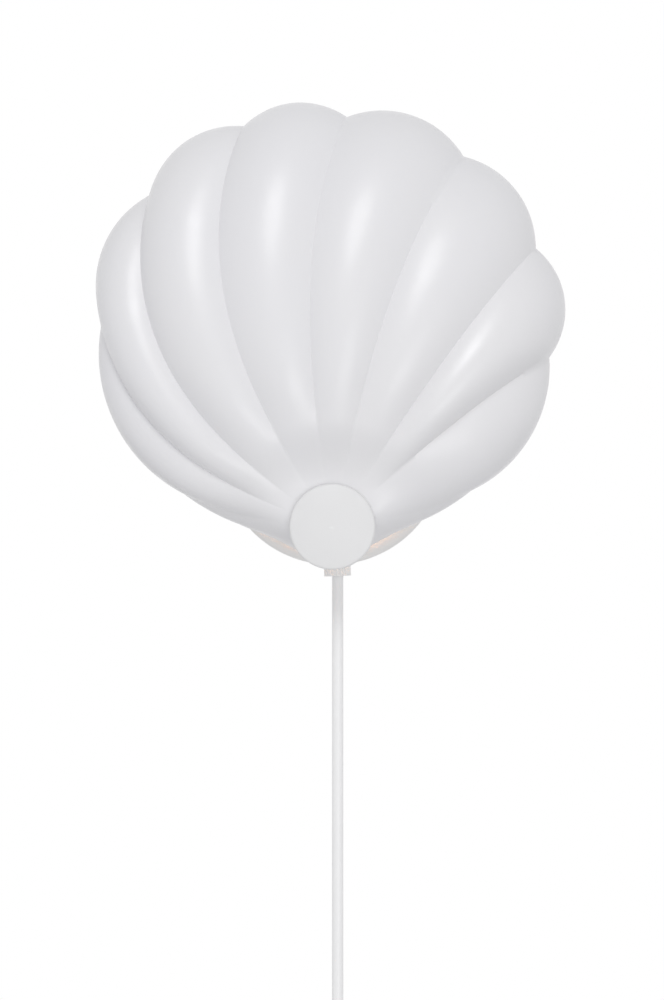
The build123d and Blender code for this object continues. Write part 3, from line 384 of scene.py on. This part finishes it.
finishes["cordSheath"] = cordSheath()
cordPieces = ["cord_in_grip", "cord_hanging", "cord_below_switch", "cord_coil", "cord_to_plug"]
dress(cordPieces, finishes["cordSheath"])
print("finishes made:", len(finishes))


# cords
cordSize = {"radius": 0.0031, "x": 0.002957, "depth": 0.014, "ringSteps": 8, "runSteps": 6, "order": 3}


def makeCord(name, points):
    curve = bpy.data.curves.new(name, "CURVE")
    curve.dimensions = "3D"
    curve.bevel_depth = cordSize["radius"]
    curve.bevel_resolution = cordSize["ringSteps"]
    curve.resolution_u = cordSize["runSteps"]
    curve.use_fill_caps = True
    spline = curve.splines.new("NURBS")
    spline.points.add(len(points) - 1)
    for point, place in zip(spline.points, points):
        point.co = (*place, 1)
    spline.order_u = cordSize["order"]
    spline.use_endpoint_u = True
    piece = bpy.data.objects.new(name, curve)
    scene.collection.objects.link(piece)
    curve.materials.append(finishes["cordSheath"])
    return piece


hanging = {"top": -0.067735, "bottom": -0.313735}
hangingPoints = [
    (cordSize["x"], -cordSize["depth"], hanging["top"]),
    (cordSize["x"], -cordSize["depth"], (hanging["top"] + hanging["bottom"]) / 2),
    (cordSize["x"], -cordSize["depth"], hanging["bottom"]),
]
hangingCord = makeCord("hangingCord", hangingPoints)
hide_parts("cord_hanging")
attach(hangingCord, "lamp")

coil = {
    "x": -0.046043, "z": -0.429735, "outer": 0.049, "inner": 0.0245, "pitch": 0.007,
    "lowDepth": 0.014, "topDepth": 0.021, "halfTurnsIn": 7, "halfTurnsOut": 6, "steps": 8,
    "switchBottom": -0.375735, "plugTop": -0.484735, "straightEnd": 0.006,
}


def coilReach(number):
    if number <= coil["halfTurnsIn"]:
        return coil["outer"] - number * coil["pitch"] / 2
    if number == coil["halfTurnsIn"] + 1:
        return coil["inner"] - coil["pitch"] / 4
    return coil["inner"] + (number - coil["halfTurnsIn"] - 1) * coil["pitch"] / 2


def coilDepth(number):
    return coil["lowDepth"] if number <= coil["halfTurnsIn"] else coil["topDepth"]


def coilRoute():
    start = coil["x"] + coil["outer"]
    points = [
        (start, -coil["lowDepth"], coil["switchBottom"]),
        (start, -coil["lowDepth"], (coil["switchBottom"] + coil["z"]) / 2),
        (start, -coil["lowDepth"], coil["z"] + coil["straightEnd"]),
    ]
    turns = coil["halfTurnsIn"] + 1 + coil["halfTurnsOut"]
    for number in range(turns):
        side = 1 if number % 2 == 0 else -1
        near, far = side * coilReach(number), -side * coilReach(number + 1)
        nearDepth, farDepth = coilDepth(number), coilDepth(number + 1)
        middle, reach = (near + far) / 2, abs(near - far) / 2
        for step in range(coil["steps"]):
            angle = pi * (step + 0.5) / coil["steps"]
            depth = nearDepth + (farDepth - nearDepth) * (1 - cos(angle)) / 2
            across = coil["x"] + middle + side * reach * cos(angle)
            points.append((across, -depth, coil["z"] - side * reach * sin(angle)))
    end = coil["x"] + coilReach(turns)
    points += [
        (end, -coil["topDepth"], coil["z"] - coil["straightEnd"]),
        (end, -coil["topDepth"], (coil["plugTop"] + coil["z"]) / 2),
        (end, -coil["topDepth"], coil["plugTop"]),
    ]
    return points


sparePoints = coilRoute()
spareCord = makeCord("spareCord", sparePoints)
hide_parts("cord_below_switch", "cord_coil", "cord_to_plug")
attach(spareCord, "lamp")
print("cords laid")


# shell shade
shell = {
    "x": 0.001767, "z": -0.0414115, "centreX": -3.5, "centreZ": 106.8, "rimDepth": 31.0, "height": 50.0,
    "hubRise": 30.0, "hubFlat": 20.0, "hubBlend": 58.0, "ribsStart": 20.0, "ribsFull": 90.0, "hole": 6.0,
    "lipDrop": 9.3, "lipSharpness": 5, "wall": 1.8, "seat": 5.5, "seatMargin": 6.0, "seatBlend": 14.0,
    "ribBoost": 0.25, "fullDepthFrom": 0.55, "keepRadius": 10.0, "keepBlend": 12.0,
    "ribPower": 0.5, "rowSpacing": 1.15, "nothing": 1e-6, "sharpEdge": 50,
    "columns": 24, "outerRows": 110, "edgeRows": 6, "innerRows": 40, "gridSize": 0.25,
}
perMetre = 1000  # the shell's sizes are in millimetres
# for each groove: its angle on the open edge, the edge's radius there, how far the groove turns,
# and the swell of the next rib
rimMarks = (
    (-155.0, 115.4, 0.0, 0.0), (-137.9, 118.2, -7.0, 5.8), (-86.9, 123.2, -21.0, 8.2),
    (-52.4, 122.4, -25.0, 7.8), (-22.2, 120.9, -19.0, 6.9), (5.1, 117.2, -10.0, 7.4),
    (37.8, 120.4, -7.0, 6.8), (68.2, 121.7, -3.0, 8.4), (96.7, 121.2, -3.5, 5.3),
    (138.0, 116.4, 6.0, 0.0), (153.0, 114.8, 0.0, 0.0),
)
lastStretch = len(rimMarks) - 1


def rimStretch(stretch):
    start, end = rimMarks[stretch], rimMarks[(stretch + 1) % len(rimMarks)]
    return start, (end[0] + 360, *end[1:]) if stretch == lastStretch else end


def edgePlace(stretch, along):
    start, end = rimStretch(stretch)
    radius = start[1] + (end[1] - start[1]) * along
    if stretch == lastStretch:
        radius += shell["lipDrop"] * (1 - (2 * along - 1) ** 2) ** shell["lipSharpness"]
    return start[0] + (end[0] - start[0]) * along, radius


def rimRadius(angle):
    first = rimMarks[0][0]
    angle = first + (angle - first) % 360
    for stretch in range(len(rimMarks)):
        start, end = rimStretch(stretch)
        if start[0] <= angle <= end[0]:
            return edgePlace(stretch, (angle - start[0]) / (end[0] - start[0]))[1]
    return rimMarks[0][1]


def smoothStep(value):
    value = min(max(value, 0.0), 1.0)
    return value * value * (3 - 2 * value)


def shellPoint(stretch, along, up, inset, seatInset):
    start, end = rimStretch(stretch)
    angle, radius = edgePlace(stretch, along)
    edgeX = shell["centreX"] + radius * sin(radians(angle))
    edgeZ = shell["centreZ"] + radius * cos(radians(angle))
    sweep = start[2] + (end[2] - start[2]) * along
    turn = atan2(edgeX, edgeZ) + radians(sweep) * (1 - up ** 2)
    reach = shell["hole"] + (hypot(edgeX, edgeZ) - shell["hole"]) * up
    x, z = reach * sin(turn), reach * cos(turn)
    offX, offZ = x - shell["centreX"], z - shell["centreZ"]
    off = max(hypot(offX, offZ), shell["nothing"])
    localRadius = rimRadius(degrees(atan2(offX, offZ)))
    share = 1.0 if up == 1 else min(off / localRadius, 1.0)
    dome = (1 - share ** 2) ** 0.5
    kept = (1 - smoothStep((reach - shell["keepRadius"]) / shell["keepBlend"])) * (1 - smoothStep(up))
    lip = 1 - (1 - sin(pi / 2 * min(dome / shell["fullDepthFrom"], 1.0))) * (1 - kept)
    flat = 1 - smoothStep((reach - shell["hubFlat"]) / (shell["hubBlend"] - shell["hubFlat"]))
    depth = flat * shell["hubRise"] * lip + (1 - flat) * shell["height"] * dome
    lean, rise, facing = share / localRadius, dome / shell["height"], flat * lip
    across = (1 - facing) * lean / hypot(lean, rise)
    outward = (1 - facing) * rise / hypot(lean, rise) + facing
    ribShare = (reach - shell["ribsStart"]) / (shell["ribsFull"] - shell["ribsStart"])
    ribs = smoothStep(ribShare) * up ** shell["ribPower"]
    swell = start[3] * (1 - (2 * along - 1) ** 2) * ribs * (1 + shell["ribBoost"] * (1 - up) * up * 4)
    seat = 1 - smoothStep((reach - shell["hubFlat"] - shell["seatMargin"]) / shell["seatBlend"])
    push = (swell - inset - seatInset * seat * lip) / hypot(across, outward)
    return Vector((
        shell["x"] + (x + across * offX / off * push) / perMetre,
        -(shell["rimDepth"] + depth + outward * push) / perMetre,
        shell["z"] + (z + across * offZ / off * push) / perMetre,
    ))


def rowReach(share):
    # rows lie closer together towards the open edge
    return sin(pi / 2 * share) ** shell["rowSpacing"]


def shellRows():
    # rows from the hole over the outside, round the open edge and back inside
    wall, seatExtra = shell["wall"], shell["seat"] - shell["wall"]
    rows = [(rowReach(n / shell["outerRows"]), 0.0, 0.0, 0.0) for n in range(shell["outerRows"])]
    for n in range(shell["edgeRows"] + 1):
        turn = pi * n / shell["edgeRows"]
        rows.append((1.0, wall / 2 * (1 - cos(turn)), 0.0, sin(turn) * wall / 2))
    for n in range(1, shell["innerRows"] + 1):
        rows.append((rowReach(1 - n / shell["innerRows"]), wall, seatExtra, 0.0))
    return rows


def deselectAll():
    if bpy.context.object and bpy.context.object.mode != "OBJECT":
        bpy.ops.object.mode_set(mode="OBJECT")
    bpy.ops.object.select_all(action="DESELECT")


def makeShell():
    rows = shellRows()
    columns = shell["columns"] * len(rimMarks)
    deselectAll()
    bpy.ops.mesh.primitive_grid_add(x_subdivisions=columns, y_subdivisions=len(rows), size=shell["gridSize"])
    piece = bpy.context.object
    piece.name = piece.data.name = "shellShade"
    piece.location = (0, 0, 0)
    perRow = columns + 1
    for index, vertex in enumerate(piece.data.vertices):
        row, column = divmod(index, perRow)
        stretch, step = divmod(column % columns, shell["columns"])
        up, inset, seatInset, drop = rows[row % len(rows)]
        vertex.co = shellPoint(stretch, step / shell["columns"], up, inset, seatInset)
        vertex.co.y += drop / perMetre
    bpy.ops.object.mode_set(mode="EDIT")
    bpy.ops.mesh.select_all(action="SELECT")
    bpy.ops.mesh.remove_doubles(threshold=shell["nothing"])
    bpy.ops.mesh.select_all(action="DESELECT")
    bpy.ops.mesh.select_non_manifold()
    bpy.ops.mesh.bridge_edge_loops()  # the wall of the hole
    bpy.ops.mesh.select_all(action="SELECT")
    bpy.ops.mesh.normals_make_consistent(inside=False)
    bpy.ops.object.mode_set(mode="OBJECT")
    bpy.ops.object.shade_smooth_by_angle(angle=radians(shell["sharpEdge"]))
    piece.data.materials.clear()
    piece.data.materials.append(finishes["shellGlaze"])
    return piece


shellShade = makeShell()
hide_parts("shell_shade")
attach(shellShade, "shade")
print("shell shade made:", len(shellShade.data.polygons), "faces")


# light, floor and background
light = {
    "world": 0.62, "worldColour": (0.985, 0.985, 1.0),
    "keyPlace": (-0.15, -1.9, 1.2), "keySize": 0.9, "keyPower": 12.0,
    "fillPlace": (0.5, -1.5, -0.5), "fillSize": 0.9, "fillPower": 4.0,
    "aim": (0.0, 0.0, 0.05), "floor": -0.62, "floorSize": 3.0,
    "glowPlace": (0.0, -0.044, -0.008), "glowAim": (0.0, -0.028, -0.055),
    "glowSize": 0.02, "glowPower": 0.045,
    "floorCloud": 6.0, "floorDetail": 2.0, "floorRough": 0.8,
    "floorDark": (0.88, 0.88, 0.88), "floorPale": (0.92, 0.92, 0.92),
    "white": (1.0, 1.0, 1.0), "warm": (1.0, 0.5, 0.25),
}


def makeLamp(name, place, size, power, aim, colour):
    data = bpy.data.lights.new(name, "AREA")
    data.shape, data.size, data.energy, data.color = "DISK", size, power, colour
    lamp = bpy.data.objects.new(name, data)
    scene.collection.objects.link(lamp)
    lamp.location = place
    lamp.rotation_mode = "QUATERNION"
    lamp.rotation_quaternion = (Vector(aim) - Vector(place)).to_track_quat("-Z", "Y")


def makeWorld():
    world = bpy.data.worlds.new("studio")
    scene.world = world
    world.use_nodes = True
    tree = world.node_tree
    tree.nodes.clear()
    path = tree.nodes.new("ShaderNodeLightPath")
    seen = path.outputs["Is Camera Ray"]
    for kind in ("Is Glossy Ray", "Is Transmission Ray"):
        either = tree.nodes.new("ShaderNodeMath")
        either.operation = "MAXIMUM"
        tree.links.new(seen, either.inputs[0])
        tree.links.new(path.outputs[kind], either.inputs[1])
        seen = either.outputs[0]
    dim, white = tree.nodes.new("ShaderNodeBackground"), tree.nodes.new("ShaderNodeBackground")
    dim.inputs["Color"].default_value = (*light["worldColour"], 1)
    dim.inputs["Strength"].default_value = light["world"]
    white.inputs["Color"].default_value = (1, 1, 1, 1)
    mix, out = tree.nodes.new("ShaderNodeMixShader"), tree.nodes.new("ShaderNodeOutputWorld")
    tree.links.new(seen, mix.inputs[0])
    tree.links.new(dim.outputs[0], mix.inputs[1])
    tree.links.new(white.outputs[0], mix.inputs[2])
    tree.links.new(mix.outputs[0], out.inputs["Surface"])


def makeFloor():
    deselectAll()
    bpy.ops.mesh.primitive_plane_add(size=light["floorSize"], location=(0, 0, light["floor"]))
    floor = bpy.context.object
    floor.name = "floor"
    recipe = Recipe("paleFloor")
    cloud = recipe.noise(light["floorCloud"], light["floorDetail"])
    floor.data.materials.append(recipe.finish({
        "Base Color": recipe.between(cloud, light["floorDark"], light["floorPale"]),
        "Roughness": light["floorRough"],
    }))


makeWorld()
for name, aim, colour in (
    ("key", light["aim"], light["white"]), ("fill", light["aim"], light["white"]),
    ("glow", light["glowAim"], light["warm"]),
):
    makeLamp(name + "Lamp", light[name + "Place"], light[name + "Size"], light[name + "Power"], aim, colour)
makeFloor()
print("light and floor set")
